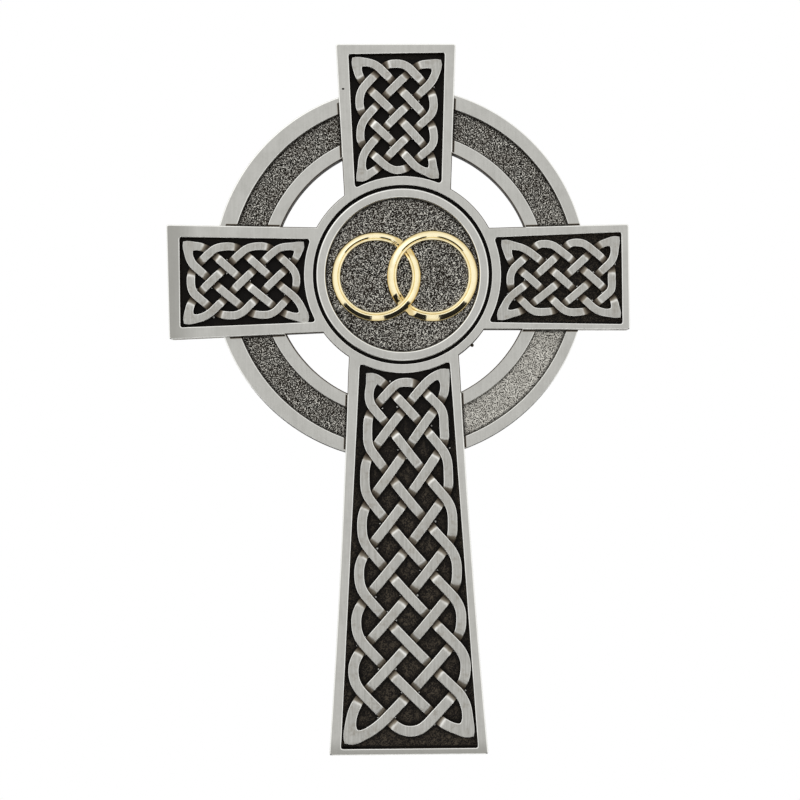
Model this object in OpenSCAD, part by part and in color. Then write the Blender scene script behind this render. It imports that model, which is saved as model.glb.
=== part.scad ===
// Celtic wall cross: one cast pewter relief with a pair of interlaced gilt rings on its hub.
// Frame: +Z up, the flat back lies in the plane Y = 0, the front faces -Y.
// Origin: centre of the mouth of the nail hole in the back of the top arm.

/* [Casting] */
// Thickness of the arms and the hub, back to front
body_t = 6; // [5:0.25:8]
// Height of the ring's rims above the back of the cross
ring_t = 5.1; // [4.5:0.1:6]
// How far the back of the ring lies in front of the back of the cross
ring_back = 0.4; // [0.2:0.1:0.8]
// Height of the sunk floor of the knotwork panels
panel_floor = 3.8; // [3:0.1:4.2]
// Height of the sunk, stippled floor of the ring
ring_floor = 3.9; // [3.4:0.1:4.4]
// Height of the sunk, stippled floor of the hub
hub_floor = 4.5; // [4:0.1:5]

/* [Arms] */
// Top arm: reach from the hub centre, end width, root width, shift to the side
top_arm = [58, 30.1, 27.1, -1]; // [-2:0.1:70]
// Left arm: reach, end width, root width, shift
left_arm = [59.1, 28.8, 26.6, -1.1]; // [-2:0.1:70]
// Shaft: reach, end width, root width, shift
shaft = [120.1, 39.8, 28, -0.1]; // [-2:0.1:130]
// Right arm: reach, end width, root width, shift
right_arm = [56.7, 26.4, 25.5, 1.3]; // [-2:0.1:70]
// How far the sides of the shaft curve in at half its length
shaft_waist = 0.45; // [0:0.05:0.8]

/* [Panels] */
// Top panel: reach from the hub centre, end width, root width, shift to the side
top_panel = [55.4, 24.1, 21.6, -0.8]; // [-2:0.1:70]
// Left panel: reach, end width, root width, shift
left_panel = [55.8, 22.6, 20.7, -1.2]; // [-2:0.1:70]
// Shaft panel: reach, end width, root width, shift
shaft_panel = [118.5, 34.2, 22.4, -0.3]; // [-2:0.1:130]
// Right panel: reach, end width, root width, shift
right_panel = [54.8, 22.9, 21.1, 1.6]; // [-2:0.1:70]
// Radius of the arc that ends each panel at the hub
panel_arc_r = 24.7; // [24:0.1:26]

/* [Ring and hub] */
// Radius of the inner edge of the ring
ring_inner_r = 32.8; // [31:0.1:34]
// Radii between which the stippled field of the ring is sunk
ring_field_r = [36.1, 43.3]; // [35:0.1:44]
// Radius of the outer edge of the ring
ring_outer_r = 46.9; // [45:0.1:49]
// Centre of the outer edge of the ring, measured from the hub centre
ring_outer_at = [-0.7, 0.3]; // [-1:0.1:1]
// Radius of the hub
hub_r = 24.6; // [24:0.1:25]
// Inner and outer radius of the groove round the medallion
groove_r = [21.65, 22.45]; // [21:0.05:23]
// Depth of that groove below the face of the hub
groove_depth = 1.8; // [1:0.1:2.4]
// Radius of the stippled floor of the hub
medallion_r = 19.3; // [18:0.1:20]

/* [Knotwork] */
// Width of a strand at the outer end of a panel: short arms, shaft
strand_end_w = [2.05, 2.75]; // [1.6:0.05:3]
// Width of a strand at the hub end of a panel: short arms, shaft
strand_root_w = [2, 2.2]; // [1.6:0.05:3]
// Height of a strand where it passes under another, and where it passes over
strand_t = [4.9, 5.75]; // [4.5:0.05:6]
// Distance from a panel's edge to the middle of a strand that turns there
turn_in = 2.2; // [1.8:0.1:2.6]
// Sharpness of the turns in a panel's corners: how far the outer edge runs out to a point
corner_tip = 1.1; // [0:0.1:1.4]

/* [Rings] */
// Inner radius of the two gilt rings
gilt_inner_r = 9; // [8:0.1:10]
// Outer radius of the left and the right ring
gilt_outer_r = [11.2, 11.4]; // [10:0.1:12]
// Centres of the two rings, to the left and right of the hub centre
gilt_at = [-6.6, 7.5]; // [-9:0.1:9]
// Height of the rings' centres above the hub centre
gilt_z = -0.4; // [-1:0.1:1]
// Height of the rings above the hub's floor
gilt_t = 1.7; // [1:0.1:2]

/* [Hanging] */
// Radius of the nail hole in the back
nail_r = 2.5; // [2:0.1:3]
// Depth of the nail hole
nail_depth = 2.8; // [2:0.1:3]
// Height of the nail hole above the hub centre
nail_up = 42; // [36:0.5:48]

/* [Hidden] */
$fn = 96;
cut = 1; // overlap that keeps cuts and joins clear of shared faces
columns = 6; // lattice steps across a panel: three turns along each end
rows = [8, 16]; // lattice steps along it: short arms, shaft
end_room = [0, 1.3]; // bare floor left at the outer end: short arms, shaft
root_room = [0, -1.6]; // the same at the hub, where the shaft's first rows are squeezed
root_turn_in = [1.9, 2.4]; // distance from the hub's arc to the middle of a turning strand
corner_in = [[2, 2.4], [2.3, 3.4]]; // where a corner turn stands in from its corner
turn_steps = 4; // straight pieces in a half strand that turns at the border
half_reach = 0.52; // share of the way to the next crossing, with a small overlap
crest_reach = 0.62; // share of a half strand that stays on the upper level
root_spread = 0.06; // how far the lower level stands out beyond the upper one
// Each arm: turn about the hub, outline, panel, over-under start, size class (0 short arm, 1 shaft)
ARMS = [
    [0, top_arm, top_panel, 0, 0],
    [90, left_arm, left_panel, 1, 0],
    [180, shaft, shaft_panel, 1, 1],
    [270, right_arm, right_panel, 0, 0]
];

function unit(v) = v / norm(v);
function left_of(v) = [-v.y, v.x];
function mix(a, b, t) = a + (b - a) * t;

// Width of a tapered arm or panel at a distance from the hub centre
function width_at(shape, b) = mix(shape[2], shape[1], (b - hub_r) / (shape[0] - hub_r));
// Distance from the hub centre to a panel's inner arc, at a sideways place
function arc_at(a) = sqrt(panel_arc_r * panel_arc_r - a * a);

// Sides of an arm, curved in by waist at half its length
function arm_side(arm, side, waist) = [
    for (t = [0:0.125:1])
        let (b = mix(hub_r, arm[0], t))
        [arm[3] + side * (width_at(arm, b) / 2 - waist * 4 * t * (1 - t)), b]
];

module arm_outline(arm, waist) {
    root = width_at(arm, 0) / 2;
    right = arm_side(arm, 1, waist);
    left = arm_side(arm, -1, waist);
    polygon(concat(
        [[arm[3] + root, 0]], right,
        [for (k = [len(left) - 1:-1:0]) left[k]],
        [[arm[3] - root, 0]]
    ));
}

module panel_outline(panel) {
    difference() {
        polygon([
            for (end = [[1, 0], [1, panel[0]], [-1, panel[0]], [-1, 0]])
                [panel[3] + end[0] * width_at(panel, end[1]) / 2, end[1]]
        ]);
        circle(panel_arc_r);
    }
}

// Lattice point (i, j) of a panel: i runs across it, j from its outer end to the hub
function lattice(p, i, j, big) =
    let (
        far = p[0] - end_room[big],
        along = j / rows[big],
        b = mix(far, panel_arc_r + root_room[big], along),
        a = p[3] + (i / columns - 0.5) * width_at(p, b)
    )
    [a, mix(far, arc_at(a) + root_room[big], along)];

function on_side(i) = i == 0 || i == columns;
function on_end(j, big) = j == 0 || j == rows[big];
function in_corner(i, j, big) =
    on_side(i) ? j == 1 || j == rows[big] - 1 : on_end(j, big) && (i == 1 || i == columns - 1);

// Middle of a strand where it turns at the border
function turn_point(p, i, j, big) =
    let (
        side = i < columns / 2 ? -1 : 1,
        outer = j < rows[big] / 2,
        corner = in_corner(i, j, big),
        in_x = corner ? corner_in[big].x : turn_in,
        in_y = corner ? corner_in[big].y : outer ? turn_in : root_turn_in[big],
        free = lattice(p, i, j, big),
        b = on_side(i) && !corner ? free.y : outer ? p[0] - end_room[big] - in_y : panel_arc_r,
        a = on_side(i) || corner ? p[3] + side * (width_at(p, b) / 2 - in_x) : free.x
    )
    [a, outer || (on_side(i) && !corner) ? b : arc_at(a) + in_y];

function bezier(q, t) =
    let (u = 1 - t)
    q[0] * u * u * u + q[1] * 3 * u * u * t + q[2] * 3 * u * t * t + q[3] * t * t * t;
function bezier_way(q, t) =
    let (u = 1 - t)
    unit((q[1] - q[0]) * u * u + (q[2] - q[1]) * 2 * u * t + (q[3] - q[2]) * t * t);

// Direction of a strand at a crossing, from the lattice points beside it
function way_at(p, i, j, d, big) =
    unit(lattice(p, i + d.x, j + d.y, big) - lattice(p, i - d.x, j - d.y, big));

// Half a strand, from its crossing (i, j) towards d: its curve, how far to follow it,
// how far its outer edge runs out to a point, and the straight pieces it is drawn with
function half_strand(p, i, j, d, big) =
    let (
        ni = i + d.x,
        nj = j + d.y,
        turns = on_side(ni) || on_end(nj, big),
        corner = in_corner(ni, nj, big),
        here = lattice(p, i, j, big),
        there = turns ? turn_point(p, ni, nj, big) : lattice(p, ni, nj, big),
        way_in = corner ? unit(on_side(ni) ? [-d.x, -d.y] : [d.x, d.y])
            : on_side(ni) ? [0, -d.y]
            : turns ? [d.x, 0]
            : way_at(p, ni, nj, d, big),
        reach = norm(there - here),
        grip = corner ? 0.3 : 0.45
    )
    [
        [here, here + way_at(p, i, j, d, big) * reach * 0.4, there - way_in * reach * grip, there],
        turns ? 1 : half_reach,
        corner ? corner_tip : 0,
        turns ? turn_steps : 1
    ];

// Outline of a half strand, from its crossing to a share of its length
module strand_piece(p, h, big, share) {
    q = h[0];
    bend = cross(q[1] - q[0], q[3] - q[2]) > 0 ? 1 : -1;
    edges = [
        for (k = [0:h[3]])
            let (
                t = share * h[1] * k / h[3],
                middle = bezier(q, t),
                out = left_of(bezier_way(q, t)),
                along = (middle.y - hub_r) / (p[0] - hub_r),
                w = mix(strand_root_w[big], strand_end_w[big], along) / 2,
                tip = h[2] * pow(max(0, 2 * t - 1), 2)
            )
            [middle + out * (w + (bend < 0 ? tip : 0)), middle - out * (w + (bend > 0 ? tip : 0))]
    ];
    polygon(concat(
        [for (k = [0:h[3]]) edges[k][0]],
        [for (k = [h[3]:-1:0]) edges[k][1]]
    ));
}

// All strands of a panel: the whole of them, or only the parts that pass over
module strands(p, start, big, crest) {
    for (i = [1:columns - 1], j = [1:rows[big] - 1])
        if ((i + j) % 2 == 1)
            for (d = [[1, 1], [-1, -1], [1, -1], [-1, 1]]) {
                rising = d.x == d.y; // lattice rows count downwards
                over = rising == ((i + start) % 2 == 0);
                if (over || !crest)
                    strand_piece(p, half_strand(p, i, j, d, big), big, crest ? crest_reach : 1);
            }
}

module knotwork(p, start, big) {
    translate([0, 0, panel_floor - cut])
        linear_extrude(strand_t[0] - panel_floor + cut)
            offset(delta = root_spread)
                strands(p, start, big, false);
    translate([0, 0, panel_floor])
        linear_extrude(strand_t[1] - panel_floor)
            offset(delta = 0)
                strands(p, start, big, true);
}

// A flat ring with its lower edge at a height
module band(inner, outer, from, to) {
    translate([0, 0, from])
        difference() {
            cylinder(r = outer, h = to - from);
            translate([0, 0, -cut])
                cylinder(r = inner, h = to - from + 2 * cut);
        }
}

module ring() {
    difference() {
        translate([ring_outer_at.x, ring_outer_at.y, ring_back])
            cylinder(r = ring_outer_r, h = ring_t - ring_back);
        translate([0, 0, -cut])
            cylinder(r = ring_inner_r, h = body_t + 2 * cut);
        band(ring_field_r[0], ring_field_r[1], ring_floor, body_t + cut);
    }
}

module hub_cuts() {
    band(groove_r[0], groove_r[1], body_t - groove_depth, body_t + cut);
    translate([0, 0, hub_floor])
        cylinder(r = medallion_r, h = body_t);
}

// The casting lying on its back, with the hub centre at the origin
module casting() {
    difference() {
        union() {
            ring();
            cylinder(r = hub_r, h = body_t);
            for (arm = ARMS)
                rotate(arm[0])
                    linear_extrude(body_t)
                        arm_outline(arm[1], arm[4] * shaft_waist);
        }
        hub_cuts();
        for (arm = ARMS)
            rotate(arm[0])
                translate([0, 0, panel_floor])
                    linear_extrude(body_t)
                        panel_outline(arm[2]);
        translate([0, nail_up, -cut])
            cylinder(r = nail_r, h = nail_depth + cut);
    }
    for (arm = ARMS)
        rotate(arm[0])
            knotwork(arm[2], arm[3], arm[4]);
}

// Section of a gilt ring: a long outer slope, a crest near the inside and a short inner slope
module gilt_ring(outer) {
    w = outer - gilt_inner_r;
    rotate_extrude()
        translate([gilt_inner_r, 0])
            polygon([
                [0, 0], [w, 0], [w, 0.25 * gilt_t], [0.86 * w, 0.66 * gilt_t],
                [0.6 * w, 0.95 * gilt_t], [0.36 * w, gilt_t], [0.12 * w, 0.82 * gilt_t], [0, 0.45 * gilt_t]
            ]);
}

module gilt_place(k) {
    translate([gilt_at[k], gilt_z, 0])
        children();
}

// One ring, cut away where the other passes over it: the left ring above, the right ring below
module gilt_half(k) {
    other = 1 - k;
    difference() {
        gilt_place(k)
            gilt_ring(gilt_outer_r[k]);
        intersection() {
            gilt_place(other)
                band(gilt_inner_r, gilt_outer_r[other], -cut, gilt_t + cut);
            translate([-gilt_inner_r, k == 0 ? gilt_z : gilt_z - 2 * gilt_inner_r, -2 * cut])
                cube([2 * gilt_inner_r, 2 * gilt_inner_r, gilt_t + 4 * cut]);
        }
    }
}

// Stands a piece that lies on its back up on the wall, with the nail hole at the origin
module hang() {
    rotate([90, 0, 0])
        translate([0, -nail_up, 0])
            children();
}

module cross() {
    color([0.66, 0.66, 0.65])
        hang()
            casting();
}

module wedding_rings() {
    color([0.9, 0.76, 0.42])
        hang()
            translate([0, 0, hub_floor])
                union() {
                    gilt_half(0);
                    gilt_half(1);
                }
}

cross();
wedding_rings();
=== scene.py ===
import math
import random

import bmesh
import bpy
from mathutils import Matrix, Quaternion, Vector, kdtree, noise


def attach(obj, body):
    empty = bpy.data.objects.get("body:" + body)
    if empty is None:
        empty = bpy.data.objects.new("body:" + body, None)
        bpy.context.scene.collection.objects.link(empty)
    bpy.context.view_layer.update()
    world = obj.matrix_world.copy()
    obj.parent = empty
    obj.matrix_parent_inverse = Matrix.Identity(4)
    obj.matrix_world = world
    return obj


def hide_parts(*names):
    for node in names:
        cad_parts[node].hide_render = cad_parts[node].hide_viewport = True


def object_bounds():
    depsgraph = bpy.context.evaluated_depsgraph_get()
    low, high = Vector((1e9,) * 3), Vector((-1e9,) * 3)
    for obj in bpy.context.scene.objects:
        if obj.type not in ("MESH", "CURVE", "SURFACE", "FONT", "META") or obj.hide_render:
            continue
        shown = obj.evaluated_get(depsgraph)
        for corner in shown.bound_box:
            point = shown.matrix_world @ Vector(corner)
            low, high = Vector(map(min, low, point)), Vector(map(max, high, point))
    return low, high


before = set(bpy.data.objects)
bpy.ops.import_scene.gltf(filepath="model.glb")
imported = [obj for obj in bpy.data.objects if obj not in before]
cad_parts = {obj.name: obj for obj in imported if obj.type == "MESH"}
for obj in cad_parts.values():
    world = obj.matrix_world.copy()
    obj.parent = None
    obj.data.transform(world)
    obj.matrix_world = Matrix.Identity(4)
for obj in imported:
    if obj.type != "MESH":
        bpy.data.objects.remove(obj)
cad_low, cad_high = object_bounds()

# The camera stands before the cross, a little to its right and low, and leans by a small angle.
# It looks at a point below the middle of the ring. Sizes here are in metres, the sensor's in mm.
field = 0.2
sensor = 36
standoff = 0.55
aim = Vector((-0.001, cad_low.y, -0.0734))
from_aim = Vector((0.008, -standoff, -0.004))
lean = math.radians(0.7)
camera_data = bpy.data.cameras.new("camera")
camera_data.sensor_width = sensor
camera_data.lens = sensor * standoff / field
camera = bpy.data.objects.new("camera", camera_data)
camera.location = aim + from_aim
camera.rotation_mode = "QUATERNION"
towards_cross = (-from_aim).to_track_quat("-Z", "Y")
camera.rotation_quaternion = towards_cross @ Quaternion((0, 0, 1), -lean)
bpy.context.scene.collection.objects.link(camera)
bpy.context.scene.camera = camera

# The casting, first its four arms: flat bars of pewter that widen outwards, 6 mm thick, with their
# front edges rubbed round. Everything cast is modelled lying on its back, in millimetres, with the
# centre of the hub at the origin, and is hung up on the wall at the end.
nail_up = 42
body_t = 6
hub_r = 24.6
edge_r = 0.35
round_steps = 3
side_steps = 10
# Reach from the hub centre, width at the end and at the hub, shift to the side, curve of the sides
arms = {
    0: (58, 30.1, 27.1, -1, 0),
    90: (59.1, 28.8, 26.6, -1.1, 0),
    180: (120.1, 39.8, 28, -0.1, 0.45),
    270: (56.7, 26.4, 25.5, 1.3, 0),
}
# How much further out the right corner of an arm's end stands than its left one
end_slants = {0: -0.4, 90: 0.4, 180: 0, 270: 0}
corner_r = 0.6


def mix(a, b, t):
    """The value at a share t of the way from a to b."""
    return a + (b - a) * t


def width_at(shape, out):
    """Width of a tapered arm or panel at a distance from the hub centre."""
    return mix(shape[2], shape[1], (out - hub_r) / (shape[0] - hub_r))


def outline_face(points, rounded):
    """A new mesh with one flat face, whose corners are rounded off by the radii in rounded."""
    bm = bmesh.new()
    corners = [bm.verts.new((x, y, 0)) for x, y in points]
    bm.faces.new(corners)
    for k, radius in rounded.items():
        bmesh.ops.bevel(
            bm, geom=[corners[k]], affect="VERTICES",
            offset=radius, segments=4, profile=0.5, material=-1,
        )
    bmesh.ops.recalc_face_normals(bm, faces=bm.faces)
    bm.faces.ensure_lookup_table()
    if bm.faces[0].normal.z < 0:
        bmesh.ops.reverse_faces(bm, faces=bm.faces)
    return bm


def pull_up(bm, height):
    """Extrudes the only face of a mesh upwards to a closed block and returns its upper face."""
    made = bmesh.ops.extrude_face_region(bm, geom=bm.faces[:])["geom"]
    upper = next(part for part in made if isinstance(part, bmesh.types.BMFace))
    bmesh.ops.translate(bm, vec=(0, 0, height), verts=upper.verts[:])
    bmesh.ops.recalc_face_normals(bm, faces=bm.faces)
    return upper


def step_in(bm, face, steps):
    """Carries a face on by steps, each so far inwards and so far along its normal."""
    for inwards, onwards in steps:
        bmesh.ops.inset_region(
            bm, faces=[face], thickness=inwards, depth=onwards, use_even_offset=True
        )


def quarter_round(radius):
    """Steps round a quarter circle, starting upright and ending flat."""
    angles = [math.pi / 2 * k / round_steps for k in range(round_steps + 1)]
    return [
        (radius * (math.cos(a) - math.cos(b)), radius * (math.sin(b) - math.sin(a)))
        for a, b in zip(angles, angles[1:])
    ]


def put(name, bm, turn=0):
    """Makes a mesh an object of the workshop, turned about the hub."""
    if turn:
        spin = Matrix.Rotation(math.radians(turn), 4, "Z")
        bmesh.ops.transform(bm, matrix=spin, verts=bm.verts)
    bmesh.ops.recalc_face_normals(bm, faces=bm.faces)
    mesh = bpy.data.meshes.new(name)
    bm.to_mesh(mesh)
    bm.free()
    made = bpy.data.objects.new(name, mesh)
    bpy.context.scene.collection.objects.link(made)
    return made


def combine(body, tools, operation):
    """Adds tools to a body or cuts them out of it, as closed solids, and uses the tools up."""
    shelf = bpy.data.collections.new("tools")
    bpy.context.scene.collection.children.link(shelf)
    for tool in tools:
        shelf.objects.link(tool)
    change = body.modifiers.new(operation, "BOOLEAN")
    change.operation = operation
    change.solver = "MANIFOLD"
    change.operand_type = "COLLECTION"
    change.collection = shelf
    seen = body.evaluated_get(bpy.context.evaluated_depsgraph_get())
    done = bpy.data.meshes.new_from_object(seen)
    body.modifiers.remove(change)
    body.data = done
    for tool in tools:
        bpy.data.objects.remove(tool)
    bpy.data.collections.remove(shelf)
    return body


def arm_points(shape, slant):
    """Outline of an arm from under the hub to its end, in order, with its sides curved in."""
    reach, _, _, shift, waist = shape
    shares = [k / side_steps for k in range(side_steps + 1)] if waist else [0, 1]
    side = [
        (width_at(shape, mix(hub_r, reach, t)) / 2 - waist * 4 * t * (1 - t), mix(hub_r, reach, t))
        for t in shares
    ]
    root = width_at(shape, 0) / 2
    right = [(shift + w, out + min(slant, 0) * t) for (w, out), t in zip(side, shares)]
    left = [(shift - w, out - max(slant, 0) * t) for (w, out), t in zip(side, shares)]
    return [(shift + root, 0), *right, *reversed(left), (shift - root, 0)]


arm_solids = []
for turn, shape in arms.items():
    points = arm_points(shape, end_slants[turn])
    middle = len(points) // 2
    bm = outline_face(points, {middle - 1: corner_r, middle: corner_r})
    top = pull_up(bm, body_t - edge_r)
    step_in(bm, top, quarter_round(edge_r))
    arm_solids.append(put(f"arm_{turn}", bm, turn))

# The ring joins the arms a little behind their front. It is cast with them: two flat rims with a
# sunk field between, stippled with a punch before casting. Its outer edge is a little off centre.
ring_inner_r = 32.8
ring_outer_r = 46.9
ring_outer_at = (-0.7, 0.3)
ring_field_r = (36.1, 43.35)
ring_back = 0.4
ring_t = 5.1
ring_floor = 3.9
rim_edge_r = 0.25
field_wall = 0.12
punch_margin = 0.2
ring_steps = 760
stipple_grain = 0.62
stipple_depth = 0.1
stipple_mesh = 0.34


def spun(profile, count):
    """Spins a closed profile of (radius, height) points about the upright axis."""
    bm = bmesh.new()
    points = [bm.verts.new((r, 0, z)) for r, z in profile]
    edges = [bm.edges.new(pair) for pair in zip(points, points[1:] + points[:1])]
    bmesh.ops.spin(
        bm, geom=points + edges, angle=math.tau, steps=count, axis=(0, 0, 1),
        cent=(0, 0, 0), use_merge=True, use_normal_flip=False, use_duplicate=False,
    )
    bmesh.ops.remove_doubles(bm, verts=bm.verts, dist=0.001)
    return bm


def round_corner(at, start, end, radius):
    """Points of a quarter round at a square corner, from the side start to the side end."""
    centre = Vector(at) + (Vector(start) + Vector(end)) * radius
    points = []
    for k in range(round_steps + 1):
        a = math.pi / 2 * k / round_steps
        from_end = Vector(end) * radius * math.cos(a)
        from_start = Vector(start) * radius * math.sin(a)
        points.append(tuple(centre - from_end - from_start))
    return points


def stippled(place, layer):
    """Height of a punched floor above its plain level; each floor has its own layer of grain."""
    at = Vector((place[0], place[1], layer)) / stipple_grain
    return stipple_depth * (noise.noise(at) + 0.6 * noise.noise(at * 2.1))


field_steps = round((ring_field_r[1] - ring_field_r[0]) / stipple_mesh)
field_row = [
    (mix(ring_field_r[0] + field_wall, ring_field_r[1] - field_wall, k / field_steps), ring_floor)
    for k in range(field_steps + 1)
]
ring_profile = [
    (ring_inner_r, ring_back),
    *round_corner((ring_inner_r, ring_t), (0, -1), (1, 0), rim_edge_r),
    *round_corner((ring_field_r[0], ring_t), (-1, 0), (0, -1), rim_edge_r),
    *field_row,
    *round_corner((ring_field_r[1], ring_t), (0, -1), (1, 0), rim_edge_r),
    *round_corner((ring_outer_r, ring_t), (-1, 0), (0, -1), edge_r),
    (ring_outer_r, ring_back),
]
bm = spun(ring_profile, ring_steps)
for vert in bm.verts:
    r = math.hypot(vert.co.x, vert.co.y)
    if r > ring_field_r[1]:
        share = (r - ring_field_r[1]) / (ring_outer_r - ring_field_r[1])
        vert.co.x += ring_outer_at[0] * share
        vert.co.y += ring_outer_at[1] * share
    elif r > ring_field_r[0] + punch_margin and vert.co.z < ring_floor + 0.01:
        vert.co.z += stippled(vert.co, 0)
ring = put("ring", bm)

# The hub is a turned disc within the same casting: a flat rim level with the arms, a narrow
# groove, and a raised ring with a softly worn top round the sunk, stippled medallion.
hub_floor = 4.5
hub_bed = hub_floor - 0.4
hub_steps = 360
medallion_r = 19.3
medallion_foot = 3
groove_r = (21.65, 22.45)
groove_floor = 4.2
turned_slope = 0.08
axis_gap = 0.01
trim_steps = 240
through = 20
# Radius and height of each point; those next to the axis are merged after the turning
hub_profile = [
    (axis_gap, 0),
    (hub_r, 0),
    *round_corner((hub_r, body_t), (0, -1), (-1, 0), edge_r),
    *round_corner((groove_r[1], body_t), (1, 0), (0, -1), 0.15),
    (groove_r[1] - turned_slope, groove_floor),
    (groove_r[0] + turned_slope, groove_floor),
    (groove_r[0], 5.5),
    (21.57, 5.68),
    (21.4, 5.79),
    (21.1, 5.84),
    (20.4, 5.89),
    (19.72, 5.93),
    (19.52, 5.89),
    (19.38, 5.76),
    (medallion_r, 5.5),
    (medallion_r - turned_slope, hub_bed),
    (axis_gap, hub_bed),
]
bm = spun(hub_profile, hub_steps)
bmesh.ops.remove_doubles(bm, verts=bm.verts, dist=3 * axis_gap)
hub = put("hub", bm)

cells = round(2 * medallion_r / stipple_mesh)
bm = bmesh.new()
bmesh.ops.create_grid(bm, x_segments=cells, y_segments=cells, size=medallion_r + 0.2)
made = bmesh.ops.extrude_face_region(bm, geom=bm.faces[:])["geom"]
upper = [part for part in made if isinstance(part, bmesh.types.BMVert)]
for vert in bm.verts:
    vert.co.z = medallion_foot
for vert in upper:
    vert.co.z = hub_floor + stippled(vert.co, 5)
medallion = put("medallion", bm)


def round_tool(name, radius, steps, height):
    """An upright cylinder about the axis of the hub, for trimming and boring."""
    bm = bmesh.new()
    bmesh.ops.create_cone(
        bm, cap_ends=True, segments=steps, radius1=radius, radius2=radius, depth=height
    )
    return put(name, bm)


combine(medallion, [round_tool("trim", medallion_r + 0.05, trim_steps, through)], "INTERSECT")

# The panels are sunk into the arms, with walls that open a little outwards, as a mould needs,
# and end at the hub in an arc. Their front edges are rubbed round, and their brightness is partly wear and
# partly a painted highlight.
panel_floor = 3.8
panel_arc_r = 24.7
panel_edge_r = 0.3
end_corner_r = 0.8
hub_corner_r = 1.5
wall_slope = 0.1
fillet = 0.15
arc_steps = 12
# Reach from the hub centre, width at the end and at the hub, shift to the side
panels = {
    0: (55.4, 24.1, 21.6, -0.8),
    90: (55.8, 22.6, 20.7, -1.2),
    180: (118.5, 34.2, 22.4, -0.3),
    270: (54.8, 22.9, 21.1, 1.6),
}


def arc_at(aside, radius=panel_arc_r):
    """How far out the arc round the hub lies, at a place to the side."""
    return math.sqrt(radius * radius - aside * aside)


def panel_points(panel, grow):
    """Outline of a panel, made larger all round: two outer corners, then the arc at the hub."""
    reach, _, _, shift = panel
    far = reach + grow
    half = width_at(panel, far) / 2 + grow
    points = [(shift - half, far), (shift + half, far)]
    near = width_at(panel, hub_r) / 2 + grow
    for k in range(arc_steps + 1):
        aside = shift + mix(near, -near, k / arc_steps)
        points.append((aside, arc_at(aside, panel_arc_r - grow)))
    return points


cutters = []
for turn, panel in panels.items():
    points = panel_points(panel, panel_edge_r)
    rounded = {0: end_corner_r, 1: end_corner_r, 2: hub_corner_r}
    rounded[len(points) - 1] = hub_corner_r
    bm = outline_face(points, rounded)
    bmesh.ops.translate(bm, vec=(0, 0, body_t), verts=bm.verts)
    pull_up(bm, 1)
    lower = next(face for face in bm.faces if face.normal.z < -0.9)
    curl = [(inwards, onwards) for onwards, inwards in quarter_round(panel_edge_r)]
    step_in(bm, lower, curl)
    step_in(bm, lower, [(wall_slope, body_t - panel_edge_r - panel_floor - fillet)])
    step_in(bm, lower, [(fillet / 3, fillet * 2 / 3), (fillet * 2 / 3, fillet / 3)])
    cutters.append(put(f"panel_{turn}", bm, turn))

# A blind round hole in the flat back of the top arm takes the head of the nail on the wall.
# It is cut together with the panels, once the arms and the ring are one casting.
nail_r = 2.5
nail_depth = 2.8
nail_steps = 48
nail_hole = round_tool("nail_hole", nail_r, nail_steps, 2 * nail_depth)
for vert in nail_hole.data.vertices:
    vert.co.y += nail_up
cutters.append(nail_hole)

casting = combine(arm_solids[0], [*arm_solids[1:], ring], "UNION")
combine(casting, cutters, "DIFFERENCE")

# The floor of the shaft's panel is stippled too, under its knotwork. It is cast with the rest,
# and is made here as a thin slab with a punched upper side, a little larger than the panel.
floor_mesh = 0.5
slab_t = 1
slab_margin = 0.5
slab_panel = panels[180]
slab_near = hub_r - 1
slab_far = slab_panel[0] + 0.6
slab_columns = round((width_at(slab_panel, slab_far) + 2 * slab_margin) / floor_mesh)
slab_rows = round((slab_far - slab_near) / floor_mesh)
bm = bmesh.new()
bmesh.ops.create_grid(bm, x_segments=slab_columns, y_segments=slab_rows, size=1)
bmesh.ops.translate(bm, vec=(0, 0, panel_floor - slab_t), verts=bm.verts)
made = bmesh.ops.extrude_face_region(bm, geom=bm.faces[:])["geom"]
upper = [part for part in made if isinstance(part, bmesh.types.BMVert)]
for vert in bm.verts:
    out = mix(slab_near, slab_far, (vert.co.y + 1) / 2)
    vert.co.x = slab_panel[3] + vert.co.x * (width_at(slab_panel, out) / 2 + slab_margin)
    vert.co.y = out
for vert in upper:
    vert.co.z = panel_floor + stippled(vert.co, 180)
shaft_floor = put("shaft_floor", bm, 180)

# The knotwork is cast with its panels. In each of them one endless band passes over and under
# itself, turns back along the sides and runs out to a point in the corners. A crossing of the
# lattice lies where i + j is odd: i runs across a panel, j from its outer end to the hub.
columns = 6
squeeze = 0.56
squeeze_from = 12.3
squeeze_power = 1.7
over_top = 5.75
under_top = 4.7
dive = 2.3
band_foot = panel_floor - 0.3
band_draft = 0.1
plain_grip = 0.4
corner_grip = 0.25
tip_power = 2.6
bend_reach = 3
band_edge = 0.24
band_edge_drop = 0.18
band_step = 0.42
# Where each lattice ends along its arm, its width and shift there, how far it is skewed, how much
# of the hub's arc its last row follows, which of its bands rise first, and its number of rows
lattices = {
    0: dict(out=(55.3, 24.3), width=(23.2, 22.6), shift=(-1, -0.9), skew=-0.6, arc=0.8, start=0, rows=8),
    90: dict(out=(55.8, 24.3), width=(22, 21.7), shift=(-1, -1), skew=0.3, arc=0.6, start=1, rows=8),
    180: dict(out=(116.8, 19.6), width=(36.8, 22.4), shift=(-0.7, -0.4), skew=0.5, arc=0, start=1, rows=16),
    270: dict(out=(55.5, 24.5), width=(21.6, 20), shift=(1.6, 1.7), skew=-0.1, arc=0.8, start=0, rows=8),
}
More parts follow.
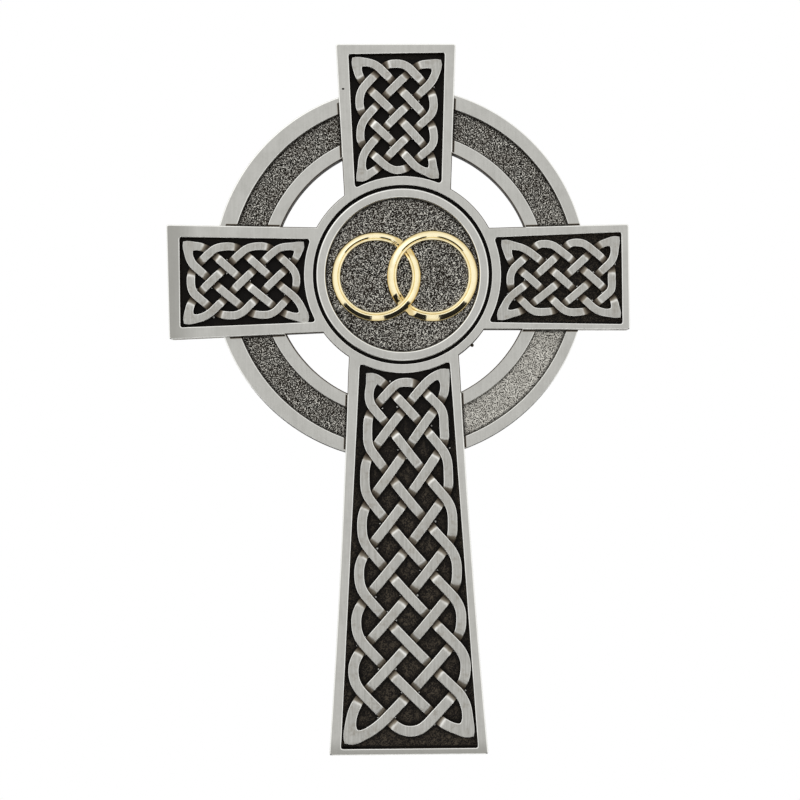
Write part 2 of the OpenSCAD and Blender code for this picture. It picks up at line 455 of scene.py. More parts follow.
# How far a band stands in from the lattice's border where it turns, at the sides and the ends,
# and how hard it is pulled straight before it turns; the shaft's corners at the hub have their own
turn_in = {
    0: dict(side=(2.2, 2.2), end=(2.4, 1.9), grip=(0.36, 0.33)),
    90: dict(side=(2.25, 2.3), end=(2.7, 2.3), grip=(0.33, 0.35)),
    180: dict(side=(3.1, 2.9), end=(2.55, 2.2), grip=(0.35, 0.4), hub_grip=0.3, hub_power=3),
    270: dict(side=(1.4, 2.15), end=(3.2, 2.5), grip=(0.45, 0.3)),
}
# The same in the corners: outer left, outer right, hub left, hub right
corner_in = {
    0: ((2.35, 3), (1.95, 2.65), (3, 2.1), (3.05, 3.2)),
    90: ((2.1, 2.3), (2.7, 2.9), (2.1, 2.7), (3.1, 2.4)),
    180: ((5.1, 3), (4.2, 2.55), (2.2, 1.5), (3.4, 1.3)),
    270: ((2.15, 3), (2.7, 2.75), (1.95, 2.9), (2, 2.8)),
}
# Width of a band at the outer end and at the hub, and how far its corners run out to a point
band_widths = {0: (2.15, 2.0), 90: (2.15, 1.9), 180: (2.7, 2.25), 270: (2.0, 1.95)}
corner_tips = {0: (1.3, 1.9), 90: (1.4, 1.6), 180: (2.1, 1.7), 270: (1.5, 1.8)}


def row_out(turn, j):
    """How far out a row of the lattice lies; the shaft's last rows are squeezed at the hub."""
    net = lattices[turn]
    squeezed = squeeze * max(0, j - squeeze_from) ** squeeze_power if turn == 180 else 0
    return mix(*net["out"], j / net["rows"]) + squeezed


def lattice(turn, i, j):
    """Place of a point of the lattice, whose rows bend with the hub's arc the nearer they lie."""
    net = lattices[turn]
    along = j / net["rows"]
    across = mix(*net["shift"], along) + (i / columns - 0.5) * mix(*net["width"], along)
    drop = net["arc"] * along * (arc_at(across) - panel_arc_r)
    return Vector((across, row_out(turn, j) + net["skew"] * (2 * i / columns - 1) + drop))


def border_point(turn, i, j):
    """Middle of a band where it turns at the border, and whether that is in a corner."""
    net = lattices[turn]
    rows = net["rows"]
    on_side = i in (0, columns)
    outer = j < rows / 2
    left = i < columns / 2
    in_corner = j in (1, rows - 1) if on_side else i in (1, columns - 1)
    side = -1 if left else 1
    hand = 0 if left else 1
    place = lattice(turn, i, j)
    if in_corner:
        inwards, back = corner_in[turn][hand if outer else 2 + hand]
        end = 0 if outer else 1
        across = net["shift"][end] + side * (net["width"][end] / 2 - inwards)
        out = row_out(turn, end * rows) + net["skew"] * side
        if outer:
            return Vector((across, out - back)), True
        return Vector((across, out + net["arc"] * (arc_at(across) - panel_arc_r) + back)), True
    if on_side:
        place.x = mix(*net["shift"], j / rows)
        place.x += side * (mix(*net["width"], j / rows) / 2 - turn_in[turn]["side"][hand])
    elif outer:
        place.y -= turn_in[turn]["end"][0]
    else:
        place.y += turn_in[turn]["end"][1]
    return place, False


def half_band(turn, i, j, dx, dy):
    """Half of a band between two crossings, as points from (i, j) to the middle or the border.

    Each point comes with its direction and how far it lies into a corner's point."""
    rows = lattices[turn]["rows"]
    turning = turn_in[turn]
    at_hub = j > rows / 2
    ni, nj = i + dx, j + dy
    on_side = ni in (0, columns)
    turns = on_side or nj in (0, rows)
    here = lattice(turn, i, j)
    way_out = (lattice(turn, ni, nj) - lattice(turn, i - dx, j - dy)).normalized()
    corner = False
    if turns:
        there, corner = border_point(turn, ni, nj)
        grip = turning["grip"][0 if on_side else 1]
        way_in = Vector((0, -dy)) if on_side else Vector((dx, 0))
        if corner:
            grip = turning.get("hub_grip", corner_grip) if at_hub else corner_grip
            way_in = Vector((-dx, -dy) if on_side else (dx, dy)).normalized()
    else:
        there = lattice(turn, ni, nj)
        grip = plain_grip
        way_in = (lattice(turn, ni + dx, nj + dy) - here).normalized()
    reach = (there - here).length
    a = here
    b = here + way_out * reach * plain_grip
    c = there - way_in * reach * grip
    d = there
    share = 1 if turns else 0.5
    power = turning.get("hub_power", tip_power) if at_hub else tip_power
    count = max(2, round(reach * share / band_step))
    points = []
    for k in range(count + 1):
        t = share * k / count
        u = 1 - t
        place = a * u**3 + b * 3 * u * u * t + c * 3 * u * t * t + d * t**3
        way = ((b - a) * u * u + (c - b) * 2 * u * t + (d - c) * t * t).normalized()
        tip = max(0, 2 * t - 1) ** power if corner else 0
        points.append((place, way, tip))
    return points


def half_run(turn, i, j, dx, dy):
    """The band from the middle of a crossing where it lies above to the next, where it dives."""
    rows = lattices[turn]["rows"]
    ni, nj = i + dx, j + dy
    on_side = ni in (0, columns)
    on_end = nj in (0, rows)
    if on_side and nj in (1, rows - 1):
        far = (i - dx, nj, dx, dy)
    elif on_end and ni in (1, columns - 1):
        far = (ni, j - dy, dx, dy)
    elif on_side:
        far = (i, j + 2 * dy, dx, -dy)
    elif on_end:
        far = (i + 2 * dx, j, -dx, dy)
    else:
        far = (ni, nj, -dx, -dy)
    first = half_band(turn, i, j, dx, dy)
    second = [(p, -way, tip) for p, way, tip in reversed(half_band(turn, *far))]
    return first + second[1:]


def band_solid(turn, i, j, dx, dy):
    """One stretch of band, over one crossing and down under its neighbours at both ends."""
    ahead = half_run(turn, i, j, dx, dy)
    behind = [(p, -way, tip) for p, way, tip in reversed(half_run(turn, i, j, -dx, -dy))]
    run = behind[:-1] + ahead
    turned = Matrix.Rotation(math.radians(turn), 2)
    band_line.extend((*(turned @ place), 0) for place, _, _ in run)
    ends = (run[0][0].copy(), run[-1][0].copy())
    reach = panels[turn][0]
    widths = band_widths[turn]
    bm = bmesh.new()
    cap = None
    for k, (place, way, tip) in enumerate(run):
        bend = 0
        if tip:
            before = run[max(k - bend_reach, 0)][1]
            after = run[min(k + bend_reach, len(run) - 1)][1]
            bend = before.cross(after)
        left = Vector((-way.y, way.x))
        half = mix(widths[1], widths[0], (place.y - hub_r) / (reach - hub_r)) / 2
        run_out = corner_tips[turn][0 if place.y > mix(hub_r, reach, 0.5) else 1] * tip
        lefts = half + (run_out if bend < 0 else 0)
        rights = half + (run_out if bend > 0 else 0)
        near_end = min((place - ends[0]).length, (place - ends[1]).length)
        rise = min(1, near_end / (half + dive))
        top = mix(under_top, over_top, rise * rise * (3 - 2 * rise))
        shoulder = top - 0.35 * band_edge_drop
        section = [
            (-rights - band_draft, band_foot),
            (-rights, top - band_edge_drop),
            (-rights + 0.3 * band_edge, shoulder),
            (-rights + band_edge, top),
            (lefts - band_edge, top),
            (lefts - 0.3 * band_edge, shoulder),
            (lefts, top - band_edge_drop),
            (lefts + band_draft, band_foot),
        ]
        ring_of = [(*(place + left * aside), height) for aside, height in section]
        if cap is None:
            cap = bm.faces.new([bm.verts.new(p) for p in ring_of])
            continue
        made = bmesh.ops.extrude_face_region(bm, geom=[cap])["geom"]
        following = next(part for part in made if isinstance(part, bmesh.types.BMFace))
        for vert, p in zip(following.verts, ring_of):
            vert.co = p
        if k > 1:
            bmesh.ops.delete(bm, geom=[cap], context="FACES_ONLY")
        cap = following
    return put(f"band_{turn}_{i}_{j}", bm, turn)


bands = []
band_line = []
for turn, net in lattices.items():
    for i in range(1, columns):
        for j in range(1, net["rows"]):
            if (i + j) % 2:
                rising = (i + net["start"]) % 2 == 0
                bands.append(band_solid(turn, i, j, 1, 1 if rising else -1))

# Small beads of metal, where bubbles in the mould filled, sit beside some of the crossings. They
# are cast with the bands, though some in the wide shaft touch none. They are scattered by throws
# of dice that come out alike each time, and a throw that hits no crossing leaves no bead.
bead_throws = 190
bead_aside = 0.8
bead_r = (0.15, 0.27)
bead_heights = (4.5, 5.1)
dice = random.Random(7)
beads = []
bead_places = []
for k in range(bead_throws):
    turn = dice.choice((0, 90, 180, 180, 270))
    rows = lattices[turn]["rows"]
    i = dice.randint(1, columns - 1)
    j = dice.randint(1, rows - 1)
    if (i + j) % 2 == 0:
        continue
    aside = dice.choice((-1, 1))
    beside = band_widths[turn][0] * bead_aside
    step = Vector((aside * beside, 0)) if dice.random() < 0.5 else Vector((0, aside * beside))
    at = lattice(turn, i, j) + step
    bm = bmesh.new()
    bmesh.ops.create_icosphere(bm, subdivisions=2, radius=dice.uniform(*bead_r))
    place = Vector((at.x, at.y, dice.uniform(*bead_heights)))
    bmesh.ops.translate(bm, vec=place, verts=bm.verts)
    beads.append(put(f"bead_{k}", bm, turn))
    bead_places.append(Matrix.Rotation(math.radians(turn), 3, "Z") @ place)

# Two faults of the casting: one burr left outside the hub at its lower right, and one pit in the
# frame on the left side of the top arm, where a bubble opened.
burr_r = 0.45
burr_at = (17.2, -17.9, 4.9)
pit_r = 0.3
pit_shape = (1.2, 0.8, 3)
pit_at = (-14.3, 46.7, body_t)
bm = bmesh.new()
bmesh.ops.create_icosphere(bm, subdivisions=2, radius=burr_r)
bmesh.ops.translate(bm, vec=burr_at, verts=bm.verts)
burr = put("burr", bm)
bm = bmesh.new()
bmesh.ops.create_icosphere(bm, subdivisions=2, radius=pit_r)
bmesh.ops.scale(bm, vec=pit_shape, verts=bm.verts)
bmesh.ops.translate(bm, vec=pit_at, verts=bm.verts)
pit_hole = put("pit", bm)

# All of it becomes one casting. The hub's place is bored out last, so that no band reaches into
# it, and the hub and its medallion are set in with a small overlap.
hub_bore_r = 23.9
combine(casting, [pit_hole], "DIFFERENCE")
combine(casting, [shaft_floor, burr], "UNION")
combine(casting, bands, "UNION")
combine(casting, beads, "UNION")
combine(casting, [round_tool("hub_bore", hub_bore_r, trim_steps, through)], "DIFFERENCE")
combine(casting, [hub, medallion], "UNION")
casting.name = "pewter_cross"
casting.data.name = "pewter_cross"

# The finished casting is hung up on the wall, its nail hole at the origin of the frame. Its pewter
# is dipped in a black-brown patina, then rubbed back: the raised faces shine grey, and the edges are
# brightest, partly worn and partly a painted highlight.
hang = (
    Matrix.Scale(0.001, 4)
    @ Matrix.Rotation(math.radians(90), 4, "X")
    @ Matrix.Translation((0, -nail_up, 0))
)
bare_pewter = (0.525, 0.52, 0.49, 1)
dulled_pewter = (0.31, 0.305, 0.28, 1)
worn_pewter_highlight = (0.93, 0.925, 0.885, 1)
stained_pewter = (0.25, 0.22, 0.175, 1)
brown_patina = (0.06, 0.044, 0.03, 1)
black_patina = (0.006, 0.0045, 0.0035, 1)
stipple_high = (0.85, 0.83, 0.76, 1)
stipple_low = (0.006, 0.005, 0.004, 1)
floor_brown = (0.092, 0.074, 0.053, 1)
smooth_below = 38
weld = 0.0005


def arm_gap(x, y):
    """How far a point lies outside the nearest arm's outline, or less than 0 inside it."""
    gaps = []
    for turn, shape in arms.items():
        aside, out = {0: (x, y), 90: (y, -x), 180: (-x, -y), 270: (-y, x)}[turn]
        if out > 0:
            side = abs(aside - shape[3]) - width_at(shape, out) / 2
            if shape[4] and out > hub_r:
                t = (out - hub_r) / (shape[0] - hub_r)
                side += shape[4] * 4 * t * (1 - t)
            gaps.append(max(side, out - shape[0]))
    return min(gaps, default=0)


def finish_mesh(piece):
    """Shades a piece smooth with its hard edges kept, and hangs it up."""
    mesh = piece.data
    bm = bmesh.new()
    bm.from_mesh(mesh)
    bmesh.ops.remove_doubles(bm, verts=bm.verts, dist=weld)
    bmesh.ops.dissolve_degenerate(bm, edges=bm.edges, dist=weld)
    loose = [edge for edge in bm.edges if not edge.link_faces]
    bmesh.ops.delete(bm, geom=loose, context="EDGES")
    for edge in bm.edges:
        edge.smooth = edge.calc_face_angle(0) < math.radians(smooth_below)
    for face in bm.faces:
        face.smooth = True
    bmesh.ops.transform(bm, matrix=hang, verts=bm.verts)
    bm.to_mesh(mesh)
    bm.free()
    weigh = piece.modifiers.new("even_flats", "WEIGHTED_NORMAL")
    weigh.keep_sharp = True
    weigh.weight = 100


def mark(name, values):
    """Keeps one number for each point of the casting, for its material to read."""
    kept = casting.data.attributes.new(name, "FLOAT", "POINT")
    kept.data.foreach_set("value", values)


def nearest_of(points):
    """Finds the nearest of many points."""
    tree = kdtree.KDTree(len(points))
    for k, point in enumerate(points):
        tree.insert(point, k)
    tree.balance()
    return tree


spots = [vert.co.copy() for vert in casting.data.vertices]
to_band = nearest_of(band_line)
to_bead = nearest_of(bead_places)
mark("gap", [arm_gap(at.x, at.y) for at in spots])
# How far each point lies from the nearest band; the floors get painted shade beside the bands.
mark("open", [to_band.find((at.x, at.y, 0))[2] for at in spots])
mark("bead", [1 if to_bead.find(at)[2] < bead_r[1] + 0.02 else 0 for at in spots])
finish_mesh(casting)


class Nodes:
    """The nodes of one material, made and joined in the order a reader needs."""

    def __init__(self, tree):
        self.tree = tree

    def add(self, kind, inputs=(), **settings):
        """A node of one kind, with each input joined to a socket or set to a plain value."""
        made = self.tree.nodes.new("ShaderNode" + kind)
        for name, value in settings.items():
            setattr(made, name, value)
        for name, value in dict(inputs).items():
            if isinstance(value, bpy.types.NodeSocket):
                self.tree.links.new(value, made.inputs[name])
            else:
                made.inputs[name].default_value = value
        return made

    def calc(self, operation, a, b=0.0):
        """One step of arithmetic."""
        return self.add("Math", {0: a, 1: b}, operation=operation).outputs[0]

    def ramp(self, value, low, high, to_low=0.0, to_high=1.0):
        """Goes smoothly from to_low to to_high while a value goes from low to high."""
        settings = {0: value, 1: low, 2: high, 3: to_low, 4: to_high}
        return self.add("MapRange", settings, interpolation_type="SMOOTHSTEP").outputs[0]

    def blend(self, share, a, b):
        """Colour a with a share of colour b over it."""
        return self.add("MixRGB", {0: share, 1: a, 2: b}).outputs[0]

    def noise(self, place, scale, detail=2.0, roughness=0.5):
        """Uneven spots, of a size that grows finer with the scale."""
        settings = {"Vector": place, "Scale": scale, "Detail": detail, "Roughness": roughness}
        return self.add("TexNoise", settings).outputs[0]

    def layers(self, value, stops):
        """A row of colours, each at its own value, that blend from one to the next."""
        made = self.add("ValToRGB", {0: value})
        row = made.color_ramp.elements
        row.remove(row[1])
        row[0].position = stops[0][0]
        row[0].color = stops[0][1]
        for position, colour in stops[1:]:
            row.new(position).color = colour
        return made.outputs[0]


def new_material(name):
    """A material without nodes yet, and the maker of its nodes."""
    made = bpy.data.materials.new(name)
    made.use_nodes = True
    made.node_tree.nodes.clear()
    return made, Nodes(made.node_tree)


pewter, n = new_material("rubbed_pewter")
spot = n.add("TexCoord")
place = spot.outputs["Object"]
split = n.add("SeparateXYZ", {0: place})
height = n.calc("MULTIPLY", split.outputs[1], -1000)
across = n.calc("MULTIPLY", split.outputs[0], 1000)
up = n.calc("ADD", n.calc("MULTIPLY", split.outputs[2], 1000), nail_up)
squares = n.calc("ADD", n.calc("MULTIPLY", across, across), n.calc("MULTIPLY", up, up))
radius = n.calc("SQRT", squares)
gap = n.add("Attribute", attribute_name="gap").outputs["Fac"]
facing = n.calc("MULTIPLY", n.add("SeparateXYZ", {0: spot.outputs["Normal"]}).outputs[1], -1)
in_front = n.ramp(facing, -0.6, -0.3)
blotches = n.noise(place, 260, 3, 0.6)
fine = n.noise(place, 1500, 2, 0.6)

# Where on the casting a spot lies, on the ring, within the arms or the hub, or on an outer wall,
# and how deep it lies there. The patina stays in what is sunk; the walls and the joints of ring and arms
# are darkened partly as patina and partly as painted shade, and the edges of the windows as painted shade.
off_arms = n.ramp(gap, 0.02, 0.1)
on_ring = n.calc("MULTIPLY", off_arms, n.ramp(radius, 28, 30))
past_inner = n.ramp(radius, ring_inner_r + 0.3, ring_inner_r + 0.5)
short_of_outer = n.ramp(radius, ring_outer_r - 0.7, ring_outer_r - 0.9)
ring_inside = n.calc("MULTIPLY", past_inner, short_of_outer)
inside = n.calc("MAXIMUM", n.ramp(gap, -0.55, -0.8), n.ramp(radius, hub_r - 0.3, hub_r - 0.5))
inside = n.calc("MAXIMUM", inside, n.calc("MULTIPLY", on_ring, ring_inside))
ring_drop = n.calc("MULTIPLY", on_ring, body_t - ring_t)
depth = n.calc("SUBTRACT", n.calc("SUBTRACT", body_t, ring_drop), height)
mottled = n.calc("ADD", depth, n.calc("MULTIPLY", n.calc("SUBTRACT", blotches, 0.5), 0.7))
on_band = n.calc("MULTIPLY", n.ramp(facing, 0.66, 0.8), n.ramp(depth, 1.75, 1.6))
stained = n.calc("MULTIPLY", n.ramp(mottled, 0.08, 1.05, 0, 0.62), on_band)
filled = n.calc("MULTIPLY", n.ramp(mottled, 0.27, 1.2), n.calc("SUBTRACT", 1, on_band))
sunk = n.calc("MULTIPLY", n.calc("ADD", stained, filled), inside)
# Walls turned away from the front are darkened, most in the windows: partly patina, partly painted shade.
turned_away = n.ramp(facing, 0.5, 0.2)
window_wall = n.ramp(radius, ring_inner_r + 1, ring_inner_r + 0.3, 0.4, 0.95)
outside = n.calc("SUBTRACT", 1, inside)
wall = n.calc("MULTIPLY", outside, n.calc("MULTIPLY", turned_away, window_wall))
wall = n.calc("MULTIPLY", wall, n.ramp(blotches, 0.3, 0.65, 0.45, 1))
sunk = n.calc("MAXIMUM", sunk, wall)
# The ring beside the higher arms is darkened: partly patina in the step, partly painted shade.
joint = n.calc("MULTIPLY", n.calc("MULTIPLY", n.ramp(gap, 0.7, 0.25), on_ring), ring_inside)
sunk = n.calc("MAXIMUM", sunk, n.calc("MULTIPLY", joint, 0.85))
# Painted shade: a dark line along the top edges round the windows.
window_edge = n.ramp(radius, ring_inner_r + 0.3, ring_inner_r + 0.1)
window_edge = n.calc("MULTIPLY", window_edge, n.ramp(gap, -0.28, -0.1))
window_edge = n.calc("MULTIPLY", window_edge, n.ramp(radius, hub_r - 0.28, hub_r - 0.1))
sunk = n.calc("MAXIMUM", sunk, n.calc("MULTIPLY", window_edge, 0.6))
sunk = n.calc("MULTIPLY", sunk, in_front)

# The punched floors of the hub and the ring: their grains are rubbed grey and lighter towards the
# lower right, their pits stay dark, and the foot of the rims is darkened, partly as patina where no cloth
# reaches and partly as painted shade.
on_medallion = n.ramp(radius, medallion_r + 0.02, medallion_r - 0.1)
on_medallion = n.calc("MULTIPLY", on_medallion, n.ramp(height, 5.1, 4.95))
on_field = n.calc("MULTIPLY", on_ring, n.ramp(height, 4.35, 4.2))
between_rims = n.ramp(radius, ring_field_r[1] + 0.85, ring_field_r[1] + 0.65)
past_rim = n.ramp(radius, ring_field_r[0], ring_field_r[0] + 0.1)
between_rims = n.calc("MULTIPLY", past_rim, between_rims)
on_field = n.calc("MULTIPLY", on_field, between_rims)
floor_level = n.calc("ADD", ring_floor, n.calc("MULTIPLY", on_medallion, hub_floor - ring_floor))
grain = n.noise(place, 3600, 2, 0.6)
grain_lift = n.calc("MULTIPLY", n.calc("SUBTRACT", grain, 0.5), 1.1)
lift = n.calc("ADD", n.calc("SUBTRACT", height, floor_level), grain_lift)
# The grains are lighter towards the lower right.
rubbed = n.calc("ADD", lift, n.ramp(n.calc("SUBTRACT", across, up), 10, 55, 0, 0.09))
punched = n.blend(n.ramp(rubbed, 0, 0.15), stipple_low, stipple_high)
punched = n.blend(n.ramp(blotches, 0.35, 0.7, 0.25, 0), punched, brown_patina)
# The foot of the rims, the medallion's edge and the field beside the arms are darkened: partly patina,
# partly painted shade.
outer_foot = n.ramp(radius, ring_field_r[1] - 0.9, ring_field_r[1])
inner_foot = n.ramp(radius, ring_field_r[0] + 0.5, ring_field_r[0])
rim_shade = n.calc("MULTIPLY", n.calc("MAXIMUM", outer_foot, inner_foot), on_field)
hub_foot = n.calc("MULTIPLY", n.ramp(radius, medallion_r - 0.8, medallion_r), on_medallion)
rim_shade = n.calc("MAXIMUM", rim_shade, hub_foot)
rim_shade = n.calc("MAXIMUM", rim_shade, n.calc("MULTIPLY", n.ramp(gap, 0.9, 0.1), on_field))
punched = n.blend(n.calc("MULTIPLY", rim_shade, 0.85), punched, black_patina)
stippled_zone = n.calc("MULTIPLY", n.calc("MAXIMUM", on_medallion, on_field), in_front)

# Bare metal with its fine polishing streaks and some grime, the edges brightest, partly worn and
# partly a painted highlight, and then the patina over it, with browner floors down the shaft and in the
# right arm, and black floors beside the bands as painted shade.
streak_way = {"Vector": place, "Rotation": (0, 0.35, 0), "Scale": (1, 1, 0.05)}
streak_place = n.add("Mapping", streak_way).outputs[0]
streaks = n.noise(streak_place, 2600, 2, 0.6)
metal = n.blend(n.ramp(streaks, 0.25, 0.75, 0.0, 0.16), bare_pewter, dulled_pewter)
metal = n.blend(n.ramp(blotches, 0.42, 0.68, 0.0, 0.16), metal, dulled_pewter)
metal = n.blend(n.ramp(fine, 0.5, 0.72, 0.0, 0.14), metal, dulled_pewter)
# The frames are darker towards the foot of the shaft and the end of the left arm.
shaft_foot = n.ramp(up, -115, -120, 0, 0.75)
left_end = n.ramp(across, -50, -58, 0, 0.75)
darker_towards_ends = n.calc("MAXIMUM", shaft_foot, left_end)
darker_towards_ends = n.calc("MULTIPLY", darker_towards_ends, n.ramp(gap, -3.6, -3))
metal = n.blend(n.calc("MULTIPLY", darker_towards_ends, in_front), metal, dulled_pewter)
grime = n.noise(place, 620, 4, 0.68)
lower = n.calc("MULTIPLY", n.ramp(gap, -2, -2.6), n.ramp(depth, 0.15, 0.22))
lower = n.calc("MULTIPLY", n.calc("MULTIPLY", lower, in_front), n.ramp(radius, hub_r, hub_r + 0.1))
metal = n.blend(n.calc("MULTIPLY", lower, n.ramp(streaks, 0.3, 0.7, 0.1, 0.5)), metal, dulled_pewter)
metal = n.blend(n.calc("MULTIPLY", lower, n.ramp(grime, 0.48, 0.72, 0, 0.5)), metal, stained_pewter)
cast_skin = n.calc("MULTIPLY", n.calc("SUBTRACT", 1, in_front), n.ramp(blotches, 0.3, 0.7, 0.55, 0.95))
metal = n.blend(cast_skin, metal, dulled_pewter)
# Edges turned part way from the front are lighter: partly wear, partly a painted highlight.
edge = n.calc("MULTIPLY", n.ramp(facing, 0.2, 0.45), n.ramp(facing, 0.99, 0.93))
edge = n.calc("MULTIPLY", edge, n.ramp(depth, 0.62, 0.44))
metal = n.blend(edge, metal, worn_pewter_highlight)
patina_stops = (
    (0.04, bare_pewter), (0.3, stained_pewter), (0.6, brown_patina), (1, black_patina),
)
patina = n.layers(sunk, patina_stops)
surface = n.blend(n.ramp(sunk, 0.02, 0.34), metal, patina)
in_panel = n.calc("MULTIPLY", n.ramp(gap, -1.8, -2.2), n.ramp(radius, hub_r, hub_r + 0.1))
on_floor = n.calc("MULTIPLY", in_panel, n.ramp(height, panel_floor + 0.32, panel_floor + 0.2))
on_floor = n.calc("MULTIPLY", on_floor, in_front)
down_shaft = n.ramp(up, -24, -60, 0, 1)
on_right = n.ramp(across, 22, 34, 0, 0.85)
browned = n.calc("MAXIMUM", n.calc("MAXIMUM", down_shaft, on_right), 0.2)
browned = n.calc("MULTIPLY", browned, n.ramp(blotches, 0.2, 0.6, 0.6, 1))
# Painted shade: the panel floors stay black beside the bands and turn brown only away from them.
from_band = n.add("Attribute", attribute_name="open").outputs["Fac"]
clear_of_band_shade = n.ramp(from_band, 1.3, 2.9, 0.1, 1)
browned = n.calc("MULTIPLY", browned, n.calc("MAXIMUM", clear_of_band_shade, on_right))
floor_grain = n.calc("MULTIPLY", n.calc("SUBTRACT", height, panel_floor), 3)
floor_grain = n.ramp(n.calc("ADD", floor_grain, grain), 0.46, 0.66)
floor_tone = n.blend(n.calc("MULTIPLY", floor_grain, browned), black_patina, floor_brown)
surface = n.blend(on_floor, surface, floor_tone)
on_bead = n.ramp(n.add("Attribute", attribute_name="bead").outputs["Fac"], 0.5, 0.9)
on_bead = n.calc("MULTIPLY", on_bead, n.ramp(facing, 0.1, 0.5))
surface = n.blend(on_bead, surface, bare_pewter)
surface = n.blend(stippled_zone, surface, punched)

# Rubbed edges shine most and the patina least, which is hardly metal at all. The grain of the
# punched floors and the polishing streaks are too fine to model, and only tilt the light.
roughness = n.ramp(sunk, 0, 0.8, 0.37, 0.62)
roughness = n.calc("SUBTRACT", roughness, n.calc("MULTIPLY", edge, 0.08))
roughness = n.calc("ADD", roughness, n.calc("MULTIPLY", n.calc("SUBTRACT", streaks, 0.5), 0.12))
coated = n.calc("SUBTRACT", sunk, n.calc("MULTIPLY", stippled_zone, 0.6))
metallic = n.ramp(coated, 0.2, 0.9, 1, 0.1)
felt_grain = n.calc("MULTIPLY", n.calc("MULTIPLY", grain, stippled_zone), 1.2)
relief = n.calc("ADD", n.calc("MULTIPLY", fine, 0.12), felt_grain)
relief = n.calc("ADD", relief, n.calc("MULTIPLY", streaks, 0.05))
bump = n.add("Bump", {"Strength": 0.6, "Distance": 0.00012, "Height": relief}).outputs[0]
shader = n.add(
    "BsdfPrincipled",
    {
        "Base Color": surface, "Metallic": metallic, "Roughness": roughness,
        "Specular IOR Level": 0.15, "Normal": bump,
    },
)
n.add("OutputMaterial", {"Surface": shader.outputs[0]})
casting.data.materials.clear()
casting.data.materials.append(pewter)
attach(casting, "root")
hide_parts("cross")

# The two wedding rings lie on the medallion, linked: the right ring passes over the left one at
# the top and under it below. They are cast bands, gilt and polished, with a lower step inside.
gilt_at = (-6.6, 7.5)
gilt_lift = -0.4
gilt_inner_r = 9
gilt_middle_r = 10.2
gilt_outer_r = (11.2, 11.4)
gilt_top = 6.2
gilt_foot = hub_floor - 0.35
gilt_steps = 240
gilt_sag = 0.95
link_width = 0.38
link_flat = 0.35
pale_gilt_highlight = (1, 0.9, 0.6, 1)
deep_gilt_shade = (0.72, 0.56, 0.26, 1)
gilt_shadow = (0.12, 0.075, 0.03, 1)


def wedding_ring(name, at, outer, other_at, over_when_up):
    """One band with a broad bevel outside, a crest and a step inside, sunk below the other band."""
    crest = gilt_inner_r + 0.98
    profile = [
        (outer, gilt_foot),
        (outer, gilt_top - 0.92),
        (outer - 0.05, gilt_top - 0.82),
        (outer - 0.4, gilt_top - 0.6),
        (mix(outer, crest, 0.62), gilt_top - 0.24),
        (crest + 0.16, gilt_top - 0.07),
        (crest + 0.03, gilt_top),
        (crest - 0.04, gilt_top - 0.02),
        (crest - 0.37, gilt_top - 0.39),
        (crest - 0.43, gilt_top - 0.48),
        (crest - 0.5, gilt_top - 0.38),
        (gilt_inner_r + 0.15, gilt_top - 0.38),
        (gilt_inner_r + 0.04, gilt_top - 0.47),
        (gilt_inner_r, gilt_top - 0.6),
        (gilt_inner_r, gilt_foot),
    ]
    bm = spun(profile, gilt_steps)
    toward = 0 if other_at > at else math.pi
    spread = math.acos(abs(other_at - at) / 2 / gilt_middle_r)
    for vert in bm.verts:
        angle = math.atan2(vert.co.y, vert.co.x)
        for is_up in (True, False):
            crossing = toward + (spread if is_up == (toward == 0) else -spread)
            off = abs(math.remainder(angle - crossing, math.tau)) / link_width
            off = max(0, off - link_flat) / (1 - link_flat)
            if off < 1 and is_up != over_when_up:
                sag = gilt_sag * (1 - off * off * (3 - 2 * off))
                squash = 1 - sag / (gilt_top - gilt_foot)
                vert.co.z = gilt_foot + (vert.co.z - gilt_foot) * squash
    bmesh.ops.translate(bm, vec=(at, gilt_lift, 0), verts=bm.verts)
    return put(name, bm)


gilt_rings = wedding_ring("gilt_wedding_rings", gilt_at[0], gilt_outer_r[0], gilt_at[1], False)
right_ring = wedding_ring("right_ring", gilt_at[1], gilt_outer_r[1], gilt_at[0], True)
combine(gilt_rings, [right_ring], "UNION")
finish_mesh(gilt_rings)
gilding, n = new_material("polished_gilding")
spot = n.add("TexCoord")
place = spot.outputs["Object"]
height = n.calc("MULTIPLY", n.add("SeparateXYZ", {0: place}).outputs[1], -1000)
wear = n.noise(place, 420, 3, 0.6)
hairline_way = {"Vector": place, "Rotation": (0, 0.6, 0), "Scale": (1, 1, 0.08)}
hairlines = n.noise(n.add("Mapping", hairline_way).outputs[0], 3200, 2)
# Painted highlight and shade: the gilt is paler at the crest and deeper down the outer bevel and where a
# band sinks under the other, with some random tone from wear.
gilt_shading = n.ramp(height, gilt_top - 0.85, gilt_top - 0.12, 0.9, 0)
tone = n.blend(n.calc("ADD", gilt_shading, n.ramp(wear, 0.35, 0.7, -0.1, 0.15)), pale_gilt_highlight, deep_gilt_shade)
# A painted shadow darkens the foot of the rings on the medallion.
tone = n.blend(n.ramp(height, 4.95, 4.55), tone, gilt_shadow)
roughness = n.ramp(wear, 0.3, 0.75, 0.06, 0.11)
bump = n.add("Bump", {"Strength": 0.25, "Distance": 0.00003, "Height": hairlines}).outputs[0]
shader = n.add(
    "BsdfPrincipled", {"Base Color": tone, "Metallic": 1.0, "Roughness": roughness, "Normal": bump}
)
n.add("OutputMaterial", {"Surface": shader.outputs[0]})
gilt_rings.data.materials.clear()
gilt_rings.data.materials.append(gilding)
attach(gilt_rings, "root")
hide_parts("wedding_rings")

# The studio: a pale floor well below the cross, with a dark card on either side of it that only
# the metal shows, and a soft white room, with one large soft lamp high on the left.
floor_down = 1.6
floor_width = 0.5
floor_length = 3
card_width = 1.9
card_length = 4.2
floor_white = (0.8, 0.8, 0.8, 1)
card_black = (0.02, 0.02, 0.02, 1)
white_light = (1, 1, 1, 1)


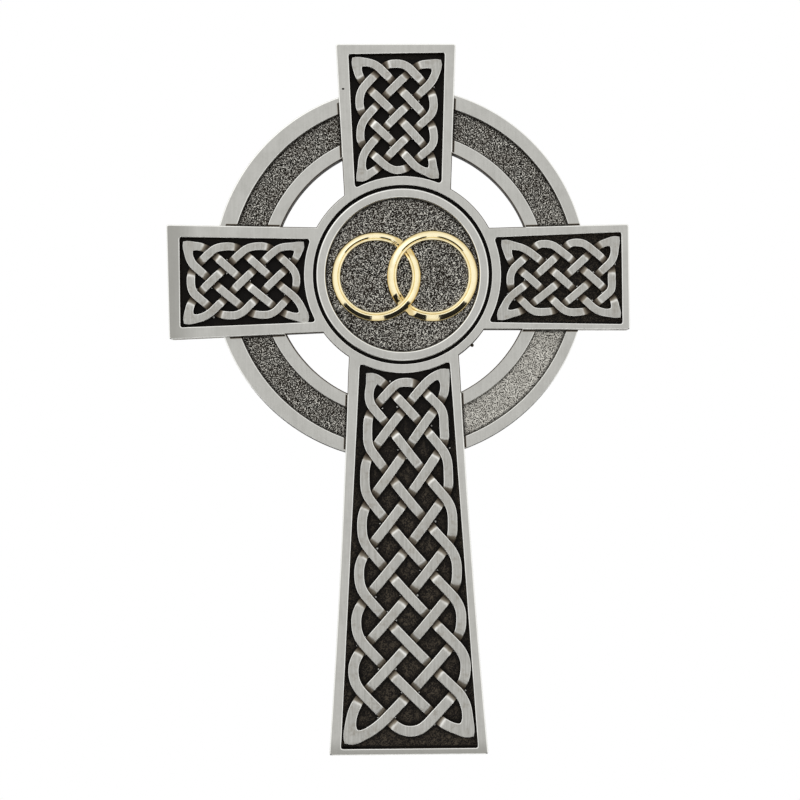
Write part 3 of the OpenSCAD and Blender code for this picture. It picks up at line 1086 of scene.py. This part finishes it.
def stage_sheet(name, width, length, aside, matt_colour, white_in_metal):
    """A flat sheet below the cross, matt to the light and white to the eye."""
    bm = bmesh.new()
    bmesh.ops.create_grid(bm, x_segments=4, y_segments=4, size=0.5)
    bmesh.ops.scale(bm, vec=(width, length, 1), verts=bm.verts)
    bmesh.ops.translate(bm, vec=(aside, 0, -floor_down), verts=bm.verts)
    mesh = bpy.data.meshes.new(name)
    bm.to_mesh(mesh)
    bm.free()
    sheet = bpy.data.objects.new(name, mesh)
    bpy.context.scene.collection.objects.link(sheet)
    made, n = new_material(name)
    path = n.add("LightPath")
    matt = n.add("BsdfDiffuse", {"Color": matt_colour})
    white = n.add("Emission", {"Color": white_light, "Strength": 1.0})
    seen = n.calc("MAXIMUM", path.outputs["Is Camera Ray"], path.outputs["Is Transmission Ray"])
    if white_in_metal:
        seen = n.calc("MAXIMUM", seen, path.outputs["Is Glossy Ray"])
    cover = n.add("MixShader", {0: seen, 1: matt.outputs[0], 2: white.outputs[0]})
    n.add("OutputMaterial", {"Surface": cover.outputs[0]})
    sheet.data.materials.append(made)


stage_sheet("pale_floor", floor_width, floor_length, 0, floor_white, True)
for name, side in (("dark_card_left", -1), ("dark_card_right", 1)):
    aside = side * (floor_width + card_width) / 2
    stage_sheet(name, card_width, card_length, aside, card_black, False)

# The room is white overhead and all round, fading to dark underneath, and white to the eye. Each
# grey stands at its own share of the way from straight below to straight above.
room_greys = ((0, 0.02), (0.19, 0.03), (0.23, 0.55), (0.4, 0.88), (0.62, 1), (1, 0.95))
world = bpy.data.worlds.new("studio")
world.use_nodes = True
world.node_tree.nodes.clear()
bpy.context.scene.world = world
n = Nodes(world.node_tree)
path = n.add("LightPath")
seen = n.calc("MAXIMUM", path.outputs["Is Camera Ray"], path.outputs["Is Transmission Ray"])
seen = n.calc("MAXIMUM", seen, path.outputs["Is Glossy Ray"])
direction = n.add("SeparateXYZ", {0: n.add("TexCoord").outputs["Generated"]})
level = n.calc("MULTIPLY", n.calc("ADD", direction.outputs[2], 1), 0.5)
room = n.layers(level, [(share, (grey, grey, grey, 1)) for share, grey in room_greys])
light = n.blend(seen, room, white_light)
room_light = n.add("Background", {"Color": light, "Strength": 1.0})
n.add("OutputWorld", {"Surface": room_light.outputs[0]})

# One large soft lamp stands high on the left, before the cross, and is aimed at it. It draws the
# bright sides of the bands and of the rims.
key_data = bpy.data.lights.new("key", "AREA")
key_data.shape = "DISK"
key_data.size = 1.4
key_data.energy = 2
key = bpy.data.objects.new("key", key_data)
key.location = (-0.9, -1.1, 1.0)
key.rotation_mode = "QUATERNION"
key.rotation_quaternion = (aim - key.location).to_track_quat("-Z", "Y")
bpy.context.scene.collection.objects.link(key)

bpy.context.scene.view_settings.view_transform = "Standard"
